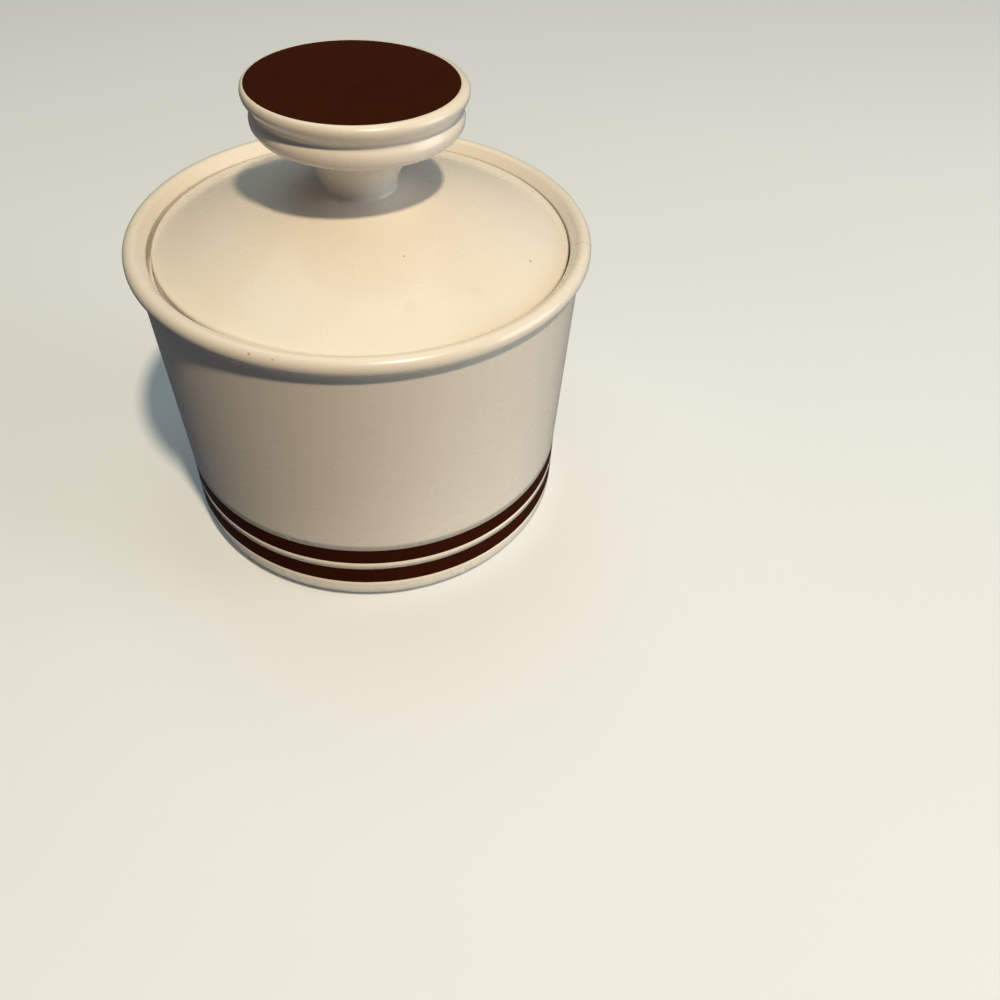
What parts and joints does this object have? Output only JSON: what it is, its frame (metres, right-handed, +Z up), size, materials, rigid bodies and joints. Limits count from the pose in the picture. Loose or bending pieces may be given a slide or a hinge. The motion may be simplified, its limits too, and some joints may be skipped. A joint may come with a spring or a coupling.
{
  "type": "sugar bowl with lid",
  "caption": "Nearly straight-sided glazed stoneware sugar bowl with a flared lip, a drop-in domed lid with a disc knob on a waisted stem, and brown bands round the foot.",
  "frame": {"origin": "centre of the foot ring, on the surface that the bowl stands on", "axes": "+Z up along the axis that every piece is turned about, -Y towards the picture's viewer"},
  "size_m": [0.104, 0.104, 0.1075],
  "materials": {
    "cream_glaze": "satin gloss",
    "brown_glaze": "satin gloss"
  },
  "bodies": {
    "bowl": {"bowl": "cream_glaze", "lower_band": "brown_glaze", "upper_band": "brown_glaze"},
    "lid": {"lid": "cream_glaze", "knob": "cream_glaze", "knob_disc": "brown_glaze"}
  },
  "joints": [
    {"name": "lid_lift", "type": "slide", "parent": "bowl", "child": "lid", "axis": [0, 0, 1], "range_m": [0, 0.12]}
  ]
}
